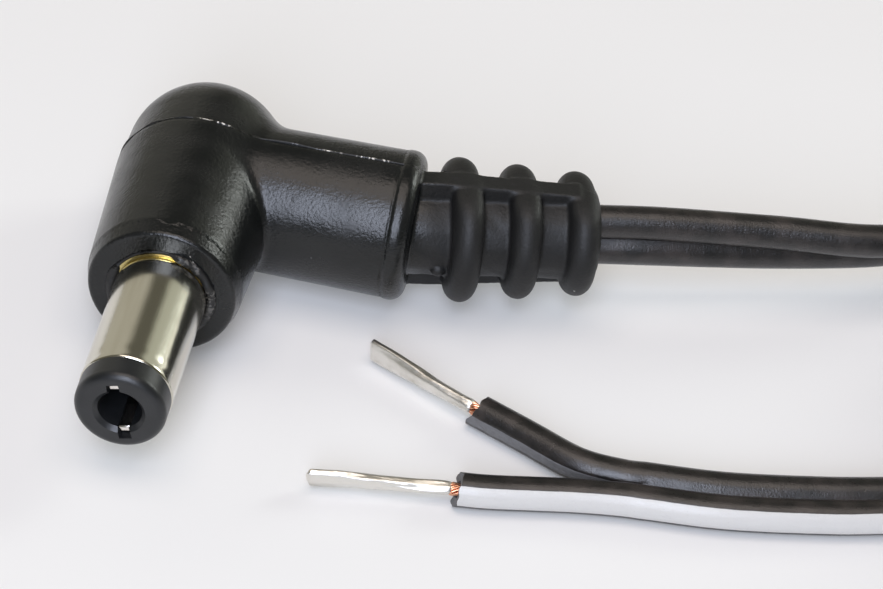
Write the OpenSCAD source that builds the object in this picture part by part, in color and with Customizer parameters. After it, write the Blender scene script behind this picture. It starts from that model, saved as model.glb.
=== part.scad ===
// Right-angle DC power plug, over-moulded on a flat two-core cord.
// Origin: barrel axis, at the housing's front face. The barrel points to -Y,
// the arm and the cord leave to +X, and the plug lies on its side with +Z up.

/* [Barrel] */
// Outside diameter of the barrel tube
barrel_d = 5.5; // [4.6:0.1:6.6]
// Wall of the barrel tube
barrel_wall = 0.3; // [0.2:0.05:0.4]
// Length of bare metal in front of the housing
barrel_len = 9.2; // [7:0.1:12]
// Radius rolled into the barrel's front edge
barrel_round = 0.15; // [0.05:0.05:0.2]
// Step in radius where the barrel necks down into the brass ring
barrel_neck = 0.2; // [0.15:0.05:0.3]

/* [Nose insulator] */
// Length of the insulator in front of the metal
nose_len = 1.7; // [1:0.1:2.5]
// Step from the barrel's surface in to the insulator's nose
nose_step = 0.05; // [0:0.05:0.2]
// Radius on the nose's outer edge
nose_round = 0.5; // [0.2:0.1:0.8]
// Diameter of the bore that takes the jack's centre pin
bore_d = 2.6; // [2:0.1:2.8]
// Chamfer at the mouth of the bore
bore_lead = 0.25; // [0.1:0.05:0.4]
// Width of the two slots that hold the fork's tines
slot_w = 0.75; // [0.5:0.05:1]
// Thickness of the insulator left behind each slot
slot_skin = 0.27; // [0.2:0.01:0.4]
// Turn of the slots from upright about the barrel axis
slot_angle = 15; // [0:5:90]

/* [Fork contact] */
// Thickness of a tine
tine_t = 0.35; // [0.2:0.05:0.4]
// How far the tips of the tines stay behind the nose's face
tine_setback = 0.6; // [0.3:0.1:1.5]
// How far each tine springs into the bore
tine_spring = 0.3; // [0.1:0.05:0.5]

/* [Housing] */
// Diameter of the elbow at the parting plane, which also sets the floor
elbow_d = 10.5; // [9.6:0.1:13]
// Diameter of the elbow behind its front edge
front_d = 9.5; // [9:0.1:11]
// Radius on the elbow's front edge
front_round = 0.5; // [0.2:0.1:0.8]
// Length of the ring at the elbow's front
lip_len = 0.9; // [0.9:0.1:1.6]
// Step up from that ring to the elbow
lip_step = 0.06; // [0:0.02:0.2]
// Distance from the front face back to the arm's axis
arm_back = 10.6; // [9.5:0.1:14]
// Length of the elbow's straight part behind the arm's axis
dome_back = 2; // [1:0.1:4]
// Taper in radius of that straight part
dome_taper = 0.1; // [0:0.05:0.4]
// Step at the parting plane where the front mould half is larger
mould_step = 0.12; // [0:0.02:0.2]
// Shift of the front mould half along the arm
mould_shift = 0.2; // [0:0.05:0.3]

/* [Arm] */
// Length from the barrel axis to the arm's end
arm_len = 14; // [12.5:0.1:18]
// Diameter of the arm where it leaves the elbow
arm_d = 9; // [8.6:0.1:10]
// Diameter of the arm at its end
arm_end_d = 9.4; // [8.8:0.1:10.4]
// Radius on the arm's end edge
arm_round = 1; // [0.4:0.1:1.4]
// Straight part of the ring at the arm's end, before its rounded edge
arm_ring = 0.3; // [0.1:0.1:1]
// Step up from the arm to that ring
ring_step = 0.06; // [0:0.02:0.2]

/* [Strain relief] */
// Angle that the strain relief leans away from the arm's axis
relief_lean = 14; // [4:1:30]
// Radius of the bend between arm and strain relief
bend_r = 6; // [5:0.5:10]
// Number of ribs
ribs = 3; // [2:1:5]
// Distance from one rib to the next
rib_pitch = 3.6; // [2.8:0.1:5]
// Width of a rib
rib_w = 2; // [1.4:0.1:2.4]
// Diameter over the first rib
rib_first_d = 8.9; // [7.6:0.1:9.4]
// Diameter over the last rib
rib_last_d = 7.7; // [7:0.1:8.6]
// Diameter of the core between the ribs
core_d = 5.6; // [5.2:0.1:6.2]
// Thickness of the flat web along the parting plane
web_t = 1.3; // [0.8:0.1:1.8]
// Height over the webs at the arm
web_first_h = 8; // [6.6:0.1:8.6]
// Height over the webs at the last rib
web_last_h = 6.8; // [6.2:0.1:7.4]

/* [Terminals] */
// Depth of the brass ring's washer behind the housing's face
washer_back = 2; // [1.8:0.1:2.6]
// Thickness of the stamped terminals
terminal_t = 0.45; // [0.3:0.05:0.5]
// Diameter of the brass ring's washer
washer_d = 7.5; // [7.2:0.1:7.6]
// Step from the barrel out to the brass collar
collar_step = 0.2; // [0.15:0.05:0.25]
// Height of the collar in front of the housing
collar_proud = 0.1; // [0:0.05:0.3]
// Width of both solder tails
tail_w = 1; // [0.8:0.05:1.1]
// Distance from the front face to the ends of the solder tails
tail_back = 7.6; // [7:0.1:8]
// Thickness of the insulating disc behind the barrel
disc_t = 0.6; // [0.4:0.1:0.8]
// Diameter of the fork's rivet
rivet_d = 1.5; // [1.2:0.1:1.8]
// Diameter of the inner mould around the terminals
inner_d = 8.1; // [8:0.1:8.4]
// Diameter of the inner mould around the cord
inner_arm_d = 6.6; // [6.2:0.1:7]
// Distance from the barrel axis to the inner mould's end in the arm
inner_arm_len = 8.8; // [8:0.1:10]
// Clearance between pieces that seat in each other
fit = 0.03; // [0.02:0.01:0.06]

/* [Cord] */
// Diameter of each of the cord's two cores over the insulation
lobe_d = 2.1; // [1.8:0.05:2.3]
// Distance between the two cores
lobe_pitch = 2; // [1.9:0.05:2.2]
// Thickness of the web that joins them
lobe_web = 0.9; // [0.6:0.1:1.2]
// Diameter of the bare strands
strand_d = 0.9; // [0.6:0.05:1]
// Distance from the barrel axis to where the insulation is stripped in the arm
strip_at = 5.6; // [5:0.1:6.4]

/* [Free end] */
// Length of bare copper that shows between insulation and solder
copper_len = 0.8; // [0.3:0.1:1.5]
// Length of the tinned lead on the plain core
lead_plain_len = 7.2; // [5:0.1:10]
// Length of the tinned lead on the striped core
lead_striped_len = 7.9; // [5:0.1:10]
// Width of a tinned lead at its flattened tip
lead_tip_w = 1.3; // [1:0.1:1.6]

/* [Hank] */
// Length of the hank
hank_len = 70; // [60:1:80]
// Width of the hank
hank_w = 31; // [26:1:40]
// Height of the hank, two turns high
hank_h = 8.4; // [8.2:0.1:10]
// Width of the tie around the hank's middle
tie_w = 4; // [3:0.5:6]
// Thickness of the tie
tie_t = 0.6; // [0.4:0.1:0.8]

/* [Hidden] */

$fn = 96;
cut = 1;           // how far a cutting shape runs past what it cuts
over = 0.01;       // the same for a chamfer, whose slope it would carry further
steps = 10;        // segments in a rounded edge
bend_steps = 4;    // straight stretches of the cord round the neck's bend

floor_z = -elbow_d / 2;
barrel_r = barrel_d / 2;
sleeve_r = barrel_r - barrel_wall;
liner_r = sleeve_r - fit;
nose_end = barrel_len + nose_len;
bore_r = bore_d / 2;

neck_r = barrel_r - barrel_neck;
neck_liner_r = liner_r - barrel_neck;
slot_r = neck_liner_r - slot_skin;
shoulder = collar_proud + fit;  // the collar seats against the barrel's shoulder
liner_shoulder = shoulder + barrel_wall + fit;
collar_r = barrel_r + fit + collar_step;
washer_end = washer_back + terminal_t;
flare_t = barrel_wall;
flare_end = washer_end + fit + flare_t;
flare_r = washer_d / 2 - terminal_t - 4 * fit;
disc_start = flare_end + fit;
disc_end = disc_start + disc_t;
fork_base_r = slot_r - fit;
fork_base_t = 0.5;  // thickness of the fork's round base
tine_lead = 1.6;  // from a tine's tip back to where it touches the pin
tine_arm = 3;     // from there back to where the tine leaves its straight root
tail_start = disc_end + fit + terminal_t;

strand_r = strand_d / 2;
lobe_r = lobe_d / 2;
core_z = lobe_pitch / 2;
leg_r = min(lobe_r, core_z) - fit / 2;
fork_tail_z = -core_z + strand_r + fit;
lug_z = core_z + strand_r + fit;
lug_top = washer_d / 2 - terminal_t;
lug_gap = 0.5;
lug_joggle = disc_end + lug_gap;
rivet_head = 0.5;  // how far the rivet's head stands out around its shank
solder_r = 1;
solder_len = 2;
solder_neck = 0.7;  // radius at a joint's ends, as a share of its middle's
solder_past = 0.4;  // bare tail left beyond the solder
solder_y = tail_back - solder_past - solder_len / 2;
solder_drop = 0.25;  // from a tail's lower face down to the middle of its solder
sleeve_solder_z = lug_z - solder_drop;
fork_solder_z = fork_tail_z - solder_drop;
strand_bend = 1.6;  // radius of the strands' turn to the tails
strand_past = 0.2;  // strands that stick out of the solder
strand_end = tail_back - solder_past - solder_len - strand_past;

inner_front = 1.4;  // the inner mould's front, behind the housing's face

back_r = elbow_d / 2 - mould_step;
dome_r = back_r - dome_taper;

// The neck's bend starts just inside the arm's end; ribs count from its far side.
neck_in = 0.6;
neck_x = arm_len - neck_in;
rib_start = 1.3;
rib_r = rib_w / 2;
core_past = 0.3;  // core that shows beyond the last rib
relief_len = rib_start + (ribs - 1) * rib_pitch + rib_r + core_past;
neck_end = [neck_x + bend_r * sin(relief_lean), arm_back + bend_r * (1 - cos(relief_lean))];
relief_way = [cos(relief_lean), sin(relief_lean), 0];
relief_end = [neck_end[0], neck_end[1], 0] + relief_len * relief_way;

lobe_step = 50;  // angle between the points around each core of the cord's outline

// Hank: its near end, the middle of its width, and the outer turns' centre lines.
hank_x = 52;
hank_y = 13.5;
turn_y = hank_w / 2 - lobe_r;
turn_gap = 0.4;
tie_sunk = 0.05;  // the tie's face lies this far under the hank's
tie_gap = 0.1;    // room under the tie
tie_side = 0.3;   // room on each side of the tie
join_x = hank_x + hank_w / 2;
low_z = floor_z + hank_h / 4;
high_z = floor_z + 3 * hank_h / 4;
flat_z = floor_z + lobe_r;
leg_straight = 1.2;  // each split core first runs on beside the other

// Routes: each point is x, y, z and the lean of the cord's width from upright.
exit_route = [
    [relief_end[0], relief_end[1], relief_end[2], 0],
    concat(relief_end + 4 * relief_way, 0),
    [35, 16, -0.3, 12],
    [42, 18, -0.5, 34],
    [48, 21, -0.4, 30],
    [53, 25, 0, 15],
    [57.5, 27.5, high_z - 0.2, 0],
    [62, hank_y + turn_y, high_z, 0],
    [join_x, hank_y + turn_y, high_z, 0]
];
return_route = [
    [join_x, hank_y - turn_y, low_z, 0],
    [61, hank_y - turn_y, low_z, 0],
    [57, -0.8, flat_z + 0.9, 30],
    [52, -0.5, flat_z + 0.4, 65],
    [47, -1, flat_z, 90],
    [41, -2.6, flat_z, 90],
    [35, -3.9, flat_z, 90],
    [30, -4.4, flat_z, 90]
];
plain_route = [[26, -3.2], [22.8, -1.7], [19.6, -0.2]];
striped_route = [[26, -6], [21.5, -7], [19.5, -7.3]];

function arc(x, y, r, from, to) =
    [for (i = [0:steps]) let (a = from + (to - from) * i / steps) [x + r * cos(a), y + r * sin(a)]];
function unit(v) = v / norm(v);
function spot(p) = [p[0], p[1], p[2]];
function heading(route, i) =
    unit(spot(route[min(i + 1, len(route) - 1)]) - spot(route[max(i - 1, 0)]));
function rib_x(i) = rib_start + i * rib_pitch;
function rib_share(i) = i / max(ribs - 1, 1);
function rib_outer_r(i) = (rib_first_d + (rib_last_d - rib_first_d) * rib_share(i)) / 2;
function web_half(x) =
    (web_first_h + (web_last_h - web_first_h) * max(x, 0) / rib_x(ribs - 1)) / 2;

// Outline of the flat cord as twelve points, the first coordinate across its width.
function twin_outline(grow = 0) = let (r = lobe_r + grow, notch = lobe_web / 2 + grow) concat(
    [for (i = [-2:2]) [core_z + r * cos(i * lobe_step), r * sin(i * lobe_step)]],
    [[0, notch]],
    [for (i = [-2:2]) [-core_z - r * cos(i * lobe_step), -r * sin(i * lobe_step)]],
    [[0, -notch]]
);
function round_outline(r, sides) =
    [for (i = [0:sides - 1]) let (a = (i + 0.5) * 360 / sides) r * [cos(a), sin(a)]];

function inside_route(grow, past) = concat(
    [[strip_at - grow, arm_back, 0, 0]],
    [for (i = [0:bend_steps]) let (a = relief_lean * i / bend_steps)
        [neck_x + bend_r * sin(a), arm_back + bend_r * (1 - cos(a)), 0, 0]],
    [concat(relief_end + past * relief_way, 0)]
);

// Ring of an outline at one route point: its width stands up, leant about the heading.
function ring(route, i, outline) = let (
    t = heading(route, i),
    side = unit(cross(t, [0, 0, 1])),
    up = cross(side, t),
    lean = route[i][3],
    wide = cos(lean) * up + sin(lean) * side,
    thin = cross(t, wide)
) [for (p = outline) spot(route[i]) + p[0] * wide + p[1] * thin];

module swept(route, outline) {
    n = len(outline);
    last = len(route) - 1;
    points = [for (i = [0:last]) each ring(route, i, outline)];
    walls = [for (i = [0:last - 1], j = [0:n - 1]) let (a = i * n + j, b = i * n + (j + 1) % n)
        each [[a, a + n, b], [b, a + n, b + n]]];
    ends = [[for (j = [0:n - 1]) j], [for (j = [n - 1:-1:0]) last * n + j]];
    polyhedron(points = points, faces = concat(walls, ends), convexity = 4);
}

// Local +z runs from the housing's face to the barrel's tip.
module on_barrel() { rotate([90, 0, 0]) children(); }

// Local +z runs along the arm.
module on_arm() { translate([0, arm_back, 0]) rotate([0, 90, 0]) children(); }

// Local +z runs along the strain relief, from the end of the neck's bend.
module on_relief() {
    translate([neck_end[0], neck_end[1], 0]) rotate([0, 90, relief_lean]) children();
}

module turned(points) { rotate_extrude() polygon(points); }

module tube(outer, inner, from, to) {
    turned([[inner, from], [outer, from], [outer, to], [inner, to]]);
}

// The cord from where it is stripped, along the arm, round the bend and through the relief.
module cord_way(grow = 0, past = 0) { swept(inside_route(grow, past), twin_outline(grow)); }

// Bare strands from the cord's end, round a quarter turn, to a solder tail.
module strands(z, grow = 0) {
    r = strand_r + grow;
    translate([strand_bend, arm_back, z]) rotate([0, 90, 0])
        cylinder(r = r, h = strip_at - strand_bend);
    translate([strand_bend, arm_back - strand_bend, z]) rotate([0, 0, 90])
        rotate_extrude(angle = 90) translate([strand_bend, 0]) circle(r = r, $fn = 48);
    translate([0, arm_back - strand_bend, z]) rotate([90, 0, 0])
        cylinder(r = r, h = arm_back - strand_bend - strand_end + grow);
}

module plate(x, y, z, grow) {
    translate([x[0] - grow, y[0] - grow, z[0] - grow])
        cube([x[1] - x[0] + 2 * grow, y[1] - y[0] + 2 * grow, z[1] - z[0] + 2 * grow]);
}

// Solder lug of the brass ring, bent back over the disc and down to the strands.
module sleeve_lug(grow = 0) {
    half = tail_w / 2;
    plate([-half, half], [washer_back, lug_joggle + terminal_t], [lug_top, lug_top + terminal_t], grow);
    plate([-half, half], [lug_joggle, lug_joggle + terminal_t], [lug_z, lug_top + terminal_t], grow);
    plate([-half, half], [lug_joggle, tail_back], [lug_z, lug_z + terminal_t], grow);
}

module fork_tail(grow = 0) {
    half = tail_w / 2;
    on_barrel() translate([0, 0, -tail_start - grow])
        cylinder(r = rivet_d / 2 + rivet_head + grow, h = terminal_t + 2 * grow);
    plate([-half, half], [tail_start - terminal_t, tail_back], [fork_tail_z, fork_tail_z + terminal_t], grow);
}

// Solder around a tail and its strands, drawn in at both ends.
module solder_blob(z, grow = 0) {
    half = solder_len / 2;
    r = solder_r + grow;
    translate([0, solder_y, z]) rotate([90, 0, 0]) turned([
        [0, -half - grow], [solder_neck * r, -half - grow], [r, -half / 2],
        [r, half / 2], [solder_neck * r, half + grow], [0, half + grow]
    ]);
}

module inner_body(grow = 0) {
    on_barrel() translate([0, 0, -arm_back])
        cylinder(d = inner_d + 2 * grow, h = arm_back - inner_front + grow);
    translate([0, arm_back, 0]) sphere(d = inner_d + 2 * grow);
    on_arm() cylinder(d = inner_arm_d + 2 * grow, h = inner_arm_len + grow);
}

module elbow() {
    dome_z = -arm_back - dome_back;
    on_barrel() turned(concat(
        [[0, 0]],
        arc(front_d / 2 - front_round, -front_round, front_round, 90, 0),
        [[front_d / 2, -lip_len], [front_d / 2 + lip_step, -lip_len]],
        [[elbow_d / 2, -arm_back], [back_r, -arm_back], [dome_r, dome_z], [0, dome_z]]
    ));
    translate([0, arm_back + dome_back, 0]) sphere(r = dome_r);
}

module arm_barrel(grow) {
    r = arm_end_d / 2 + grow;
    ring_start = arm_len - arm_round - arm_ring;
    on_arm() turned(concat(
        [[0, 0], [arm_d / 2 + grow, 0], [r - ring_step, ring_start], [r, ring_start]],
        arc(r - arm_round, arm_len - arm_round, arm_round, 0, 90),
        [[0, arm_len]]
    ));
}

// The front mould half of what it holds, on the barrel's side of the parting plane.
module front_half() {
    size = 4 * arm_len;
    intersection() {
        children();
        translate([0, arm_back - size / 2, 0]) cube([size, size, size], center = true);
    }
}

module rib(i) {
    r = rib_outer_r(i) - rib_r;
    intersection() {
        translate([0, 0, rib_x(i)]) rotate_extrude() union() {
            translate([r, 0]) circle(r = rib_r, $fn = 48);
            translate([0, -rib_r]) square([r, rib_w]);
        }
        half = web_half(rib_x(i));
        translate([0, 0, rib_x(i)]) cube([2 * half, 4 * r, 2 * rib_w], center = true);
    }
}

module relief() {
    root = 3;
    size = 4 * relief_len;
    last = rib_x(ribs - 1);
    on_relief() {
        for (side = [-1, 1]) intersection() {
            for (i = [0:ribs - 1]) translate([0, 0, side < 0 ? mould_shift : 0]) rib(i);
            translate([0, side * size / 2, 0]) cube([size, size, size], center = true);
        }
        translate([0, 0, -root]) cylinder(d = core_d, h = relief_len + root);
        rotate([90, 0, 0]) linear_extrude(web_t, center = true) polygon([
            [-web_half(0), -root / 2], [-web_half(last), last],
            [web_half(last), last], [web_half(0), -root / 2]
        ]);
    }
}

module housing() {
    color("#262628") difference() {
        union() {
            elbow();
            arm_barrel(-mould_step);
            front_half() arm_barrel(0);
            relief();
        }
        inner_body(fit);
        on_barrel() translate([0, 0, -inner_front - cut])
            cylinder(r = collar_r + 2 * fit, h = inner_front + 2 * cut);
        cord_way(fit, cut);
    }
}

module inner_mould() {
    color("#d8d4c4") difference() {
        inner_body();
        on_barrel() {
            translate([0, 0, -washer_end - fit])
                cylinder(d = washer_d + 2 * fit, h = washer_end - washer_back + 2 * fit);
            translate([0, 0, -washer_back]) cylinder(r = collar_r + fit, h = washer_back);
            translate([0, 0, -disc_end - 2 * fit]) cylinder(r = flare_r + fit, h = disc_end - washer_back);
        }
        sleeve_lug(fit);
        fork_tail(fit);
        solder_blob(sleeve_solder_z, fit);
        solder_blob(fork_solder_z, fit);
        for (side = [-1, 1]) strands(side * core_z, fit);
        cord_way(fit);
    }
}

module barrel_sleeve() {
    inner_shoulder = shoulder + barrel_wall;
    color("#c9c6bb") on_barrel() turned(concat(
        [[neck_r - barrel_wall, -flare_end], [flare_r, -flare_end], [flare_r, -flare_end + flare_t],
         [neck_r, -flare_end + flare_t], [neck_r, shoulder], [barrel_r, shoulder]],
        arc(barrel_r - barrel_round, barrel_len - barrel_round, barrel_round, 0, 90),
        [[sleeve_r, barrel_len], [sleeve_r, inner_shoulder], [neck_r - barrel_wall, inner_shoulder]]
    ));
}

module sleeve_terminal() {
    color("#c8a24a") {
        on_barrel() tube(collar_r, neck_r + fit, -washer_end, collar_proud);
        on_barrel() tube(washer_d / 2, neck_r + fit, -washer_end, -washer_back);
        sleeve_lug();
    }
}

module nose_insulator() {
    nose_r = barrel_r - nose_step;
    color("#1f1f21") on_barrel() difference() {
        turned(concat(
            [[0, -flare_end], [neck_liner_r, -flare_end], [neck_liner_r, liner_shoulder],
             [liner_r, liner_shoulder], [liner_r, barrel_len + fit], [nose_r, barrel_len + fit]],
            arc(nose_r - nose_round, nose_end - nose_round, nose_round, 0, 90),
            [[0, nose_end]]
        ));
        translate([0, 0, -flare_end - cut]) cylinder(r = bore_r, h = nose_end + flare_end + 2 * cut);
        translate([0, 0, nose_end - bore_lead])
            cylinder(r1 = bore_r, r2 = bore_r + bore_lead + over, h = bore_lead + over);
        translate([0, 0, -flare_end - cut]) cylinder(r = fork_base_r + fit, h = fork_base_t + cut + 2 * fit);
        rotate([0, 0, slot_angle]) translate([-slot_w / 2, -slot_r, -flare_end - cut])
            cube([slot_w, 2 * slot_r, nose_end + flare_end + 2 * cut]);
    }
}

// One tine, seen edge on: straight, then sprung in towards the pin, then turned out.
module tine() {
    out = slot_r - 2 * fit;
    tip = nose_end - tine_setback;
    touch = tip - tine_lead;
    root = touch - tine_arm;
    rotate([90, 0, 90]) linear_extrude(slot_w - 4 * fit, center = true) polygon([
        [out, -flare_end + fit], [out, root], [out - tine_spring, touch], [out, tip],
        [out - tine_t, tip], [out - tine_t - tine_spring, touch], [out - tine_t, root],
        [out - tine_t, -flare_end + fit]
    ]);
}

module fork_contact() {
    color("#c4c2b8") {
        on_barrel() {
            translate([0, 0, -flare_end + fit]) cylinder(r = fork_base_r, h = fork_base_t);
            translate([0, 0, -tail_start]) cylinder(d = rivet_d, h = tail_start - flare_end + 2 * fit);
            rotate([0, 0, slot_angle]) for (turn = [0, 180]) rotate([0, 0, turn]) tine();
        }
        fork_tail();
    }
}

module rear_disc() {
    color("#a87a48") on_barrel() tube(flare_r, rivet_d / 2 + fit, -disc_end, -disc_start);
}

module solder(z, strands_z) {
    color("#a9adb0") difference() {
        solder_blob(z);
        sleeve_lug(fit);
        fork_tail(fit);
        strands(strands_z, fit);
    }
}

module sleeve_solder() { solder(sleeve_solder_z, core_z); }

module fork_solder() { solder(fork_solder_z, -core_z); }

module sleeve_strands() { color("#b87343") strands(core_z); }

module fork_strands() { color("#b87343") strands(-core_z); }

module cord_in_plug() { color("#2a2a2c") cord_way(); }

module cord_from_plug() { color("#2a2a2c") swept(exit_route, twin_outline()); }

module cord_to_leads() { color("#2a2a2c") swept(return_route, twin_outline()); }

// Stadium outline of the hank, without the quarter turns that its two ends replace.
module hank_outline() {
    r = hank_w / 2;
    difference() {
        union() {
            translate([join_x, hank_y]) circle(r = r);
            translate([hank_x + hank_len - r, hank_y]) circle(r = r);
            translate([join_x, hank_y - r]) square([hank_len - hank_w, hank_w]);
        }
        for (side = [-1, 1]) translate([join_x - r / 2, hank_y + side * (r + cut)])
            square([r, 2 * (lobe_d + cut + turn_gap)], center = true);
    }
}

module cord_hank() {
    groove = tie_sunk + tie_t + tie_gap;
    middle = hank_x + hank_len / 2;
    color("#2a2a2c") difference() {
        translate([0, 0, floor_z]) linear_extrude(hank_h) hank_outline();
        difference() {
            translate([middle, hank_y, floor_z + hank_h / 2])
                cube([tie_w + 2 * tie_side, hank_w + cut, hank_h + cut], center = true);
            translate([middle, hank_y, floor_z + hank_h / 2])
                cube([2 * tie_w, hank_w - 2 * groove, hank_h - 2 * groove], center = true);
        }
    }
}

module hank_tie() {
    w = hank_w - 2 * tie_sunk;
    h = hank_h - 2 * tie_sunk;
    color("#1d1d1f") translate([hank_x + hank_len / 2, hank_y, floor_z + hank_h / 2]) difference() {
        cube([tie_w, w, h], center = true);
        cube([2 * tie_w, w - 2 * tie_t, h - 2 * tie_t], center = true);
    }
}

// A split core's whole route: on from its side of the flat cord, then its own points.
function laid(side, route) = let (
    last = len(return_route) - 1,
    way = heading(return_route, last),
    start = spot(return_route[last]) + side * core_z * unit(cross(way, [0, 0, 1]))
) concat(
    [concat(start, 0), concat(start + leg_straight * way, 0)],
    [for (p = route) [p[0], p[1], flat_z, 0]]
);

module leg(side, route) { swept(laid(side, route), round_outline(leg_r, 12)); }

module plain_leg() { color("#2a2a2c") leg(1, plain_route); }

module striped_leg() { color("#2a2a2c") leg(-1, striped_route); }

// Places a piece at the end of a leg, local +z running on along the leg.
module past_leg(route) {
    end = route[len(route) - 1];
    way = end - route[len(route) - 2];
    translate([end[0], end[1], flat_z]) rotate([0, 90, atan2(way[1], way[0])]) children();
}

module copper() { cylinder(d = strand_d, h = copper_len, $fn = 32); }

// A dipped lead: round where it leaves the copper, flattened and wider at its tip.
module lead(length) {
    slice = 0.2;
    blunt = 0.3;  // the very tip is narrower by this
    thinned = 0.7;  // the tip's thickness, as a share of the strands' diameter
    flat = thinned * strand_d / lead_tip_w;
    translate([0, 0, copper_len]) hull() {
        cylinder(d = strand_d, h = slice, $fn = 24);
        translate([0, 0, length - 2 * slice]) scale([flat, 1, 1])
            cylinder(d = lead_tip_w, h = slice, $fn = 24);
        translate([0, 0, length - slice]) scale([flat, 1, 1])
            cylinder(d = lead_tip_w - blunt, h = slice, $fn = 24);
    }
}

module plain_copper() { color("#c4814f") past_leg(plain_route) copper(); }

module striped_copper() { color("#c4814f") past_leg(striped_route) copper(); }

module plain_lead() { color("#c2c4c2") past_leg(plain_route) lead(lead_plain_len); }

module striped_lead() { color("#c2c4c2") past_leg(striped_route) lead(lead_striped_len); }

housing();
inner_mould();
barrel_sleeve();
sleeve_terminal();
nose_insulator();
fork_contact();
rear_disc();
sleeve_solder();
fork_solder();
sleeve_strands();
fork_strands();
cord_in_plug();
cord_from_plug();
cord_hank();
hank_tie();
cord_to_leads();
plain_leg();
striped_leg();
plain_copper();
striped_copper();
plain_lead();
striped_lead();
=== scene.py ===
import math
import random

import bpy
import numpy as np
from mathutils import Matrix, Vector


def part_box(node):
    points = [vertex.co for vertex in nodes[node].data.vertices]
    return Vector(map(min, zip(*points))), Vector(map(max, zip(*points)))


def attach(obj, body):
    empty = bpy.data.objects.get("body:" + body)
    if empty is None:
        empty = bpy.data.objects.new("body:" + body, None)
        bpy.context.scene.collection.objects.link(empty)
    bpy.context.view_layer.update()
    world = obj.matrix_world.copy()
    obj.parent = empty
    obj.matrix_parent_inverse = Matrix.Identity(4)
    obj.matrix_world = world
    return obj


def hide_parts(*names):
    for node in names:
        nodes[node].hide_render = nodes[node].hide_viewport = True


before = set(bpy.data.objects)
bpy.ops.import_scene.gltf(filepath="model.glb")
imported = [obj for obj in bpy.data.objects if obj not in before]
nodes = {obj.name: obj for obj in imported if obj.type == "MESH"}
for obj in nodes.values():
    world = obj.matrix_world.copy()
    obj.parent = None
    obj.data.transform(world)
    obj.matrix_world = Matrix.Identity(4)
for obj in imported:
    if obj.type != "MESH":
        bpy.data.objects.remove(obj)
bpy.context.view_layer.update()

import openvdb
from mathutils import Matrix, Vector

# Right-angle DC power plug on its flat two-core cord. Lengths below are in millimetres
# and become metres where a mesh or a lamp is made. The barrel points to -Y, the arm to +X.
mm = 0.001
scene = bpy.context.scene

cameraSetup = {
    "place": (26.55, -155.86, 134.2),
    "azimuth": 3.71,
    "elevation": 39.83,
    "roll": 8.46,
    "lens": 142.7,
    "sensor": 36,
}


def makeCamera(setup):
    azimuth, elevation, roll = (math.radians(setup[k]) for k in ("azimuth", "elevation", "roll"))
    back = Vector((math.sin(azimuth) * math.cos(elevation), -math.cos(azimuth) * math.cos(elevation),
                   math.sin(elevation)))
    level = Vector((math.cos(azimuth), math.sin(azimuth), 0))
    upright = back.cross(level)
    right = level * math.cos(roll) + upright * math.sin(roll)
    up = back.cross(right)
    data = bpy.data.cameras.new("camera")
    data.lens, data.sensor_width, data.clip_start, data.clip_end = setup["lens"], setup["sensor"], 0.01, 20
    camera = bpy.data.objects.new("camera", data)
    camera.matrix_world = Matrix.Translation(Vector(setup["place"]) * mm) @ Matrix(
        (right, up, back)).transposed().to_4x4()
    scene.collection.objects.link(camera)
    scene.camera = camera


makeCamera(cameraSetup)
print("camera placed")


def rgb(red, green, blue):
    return (red, green, blue, 1)


def makePiece(name, points, faces, sharp=38):
    # edges that turn by more than sharp degrees stay crisp
    mesh = bpy.data.meshes.new(name)
    mesh.from_pydata((np.array(points, float) * mm).tolist(), [], faces)
    mesh.validate()
    mesh.polygons.foreach_set("use_smooth", [True] * len(mesh.polygons))
    mesh.set_sharp_from_angle(angle=math.radians(sharp))
    piece = bpy.data.objects.new(name, mesh)
    scene.collection.objects.link(piece)
    return piece


def addReading(piece, name, values):
    # one number per point, which a material reads with an Attribute node
    attribute = piece.data.attributes.new(name, "FLOAT", "POINT")
    attribute.data.foreach_set("value", np.array(values, np.float32))


def smoothLine(points, spacing):
    # Catmull-Rom through the points (any number of values each), then evenly spaced
    p = np.array(points, float)
    padded = np.vstack([2 * p[0] - p[1], p, 2 * p[-1] - p[-2]])
    fine = []
    for a, b, c, d in zip(padded, padded[1:], padded[2:], padded[3:]):
        for t in np.linspace(0, 1, 24, endpoint=False):
            fine.append(0.5 * (2 * b + (c - a) * t + (2 * a - 5 * b + 4 * c - d) * t ** 2
                               + (3 * b - a - 3 * c + d) * t ** 3))
    fine.append(p[-1])
    return evenly(np.array(fine), spacing)


def evenly(line, spacing):
    steps = np.linalg.norm(np.diff(line[:, :3], axis=0), axis=1)
    along = np.concatenate([[0], np.cumsum(steps)])
    count = max(2, int(round(along[-1] / spacing)) + 1)
    wanted = np.linspace(0, along[-1], count)
    return np.column_stack([np.interp(wanted, along, line[:, k]) for k in range(line.shape[1])])


def unit(v):
    return v / np.linalg.norm(v, axis=-1, keepdims=True)


def crossSections(line):
    # at each point: the cord's heading, the direction of its width, and of its thickness
    heading = unit(np.gradient(line[:, :3], axis=0))
    side = unit(np.cross(heading, [0, 0, 1]))
    up = np.cross(side, heading)
    lean = np.radians(line[:, 3:4])
    wide = np.cos(lean) * up + np.sin(lean) * side
    return heading, wide, np.cross(heading, wide)


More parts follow.
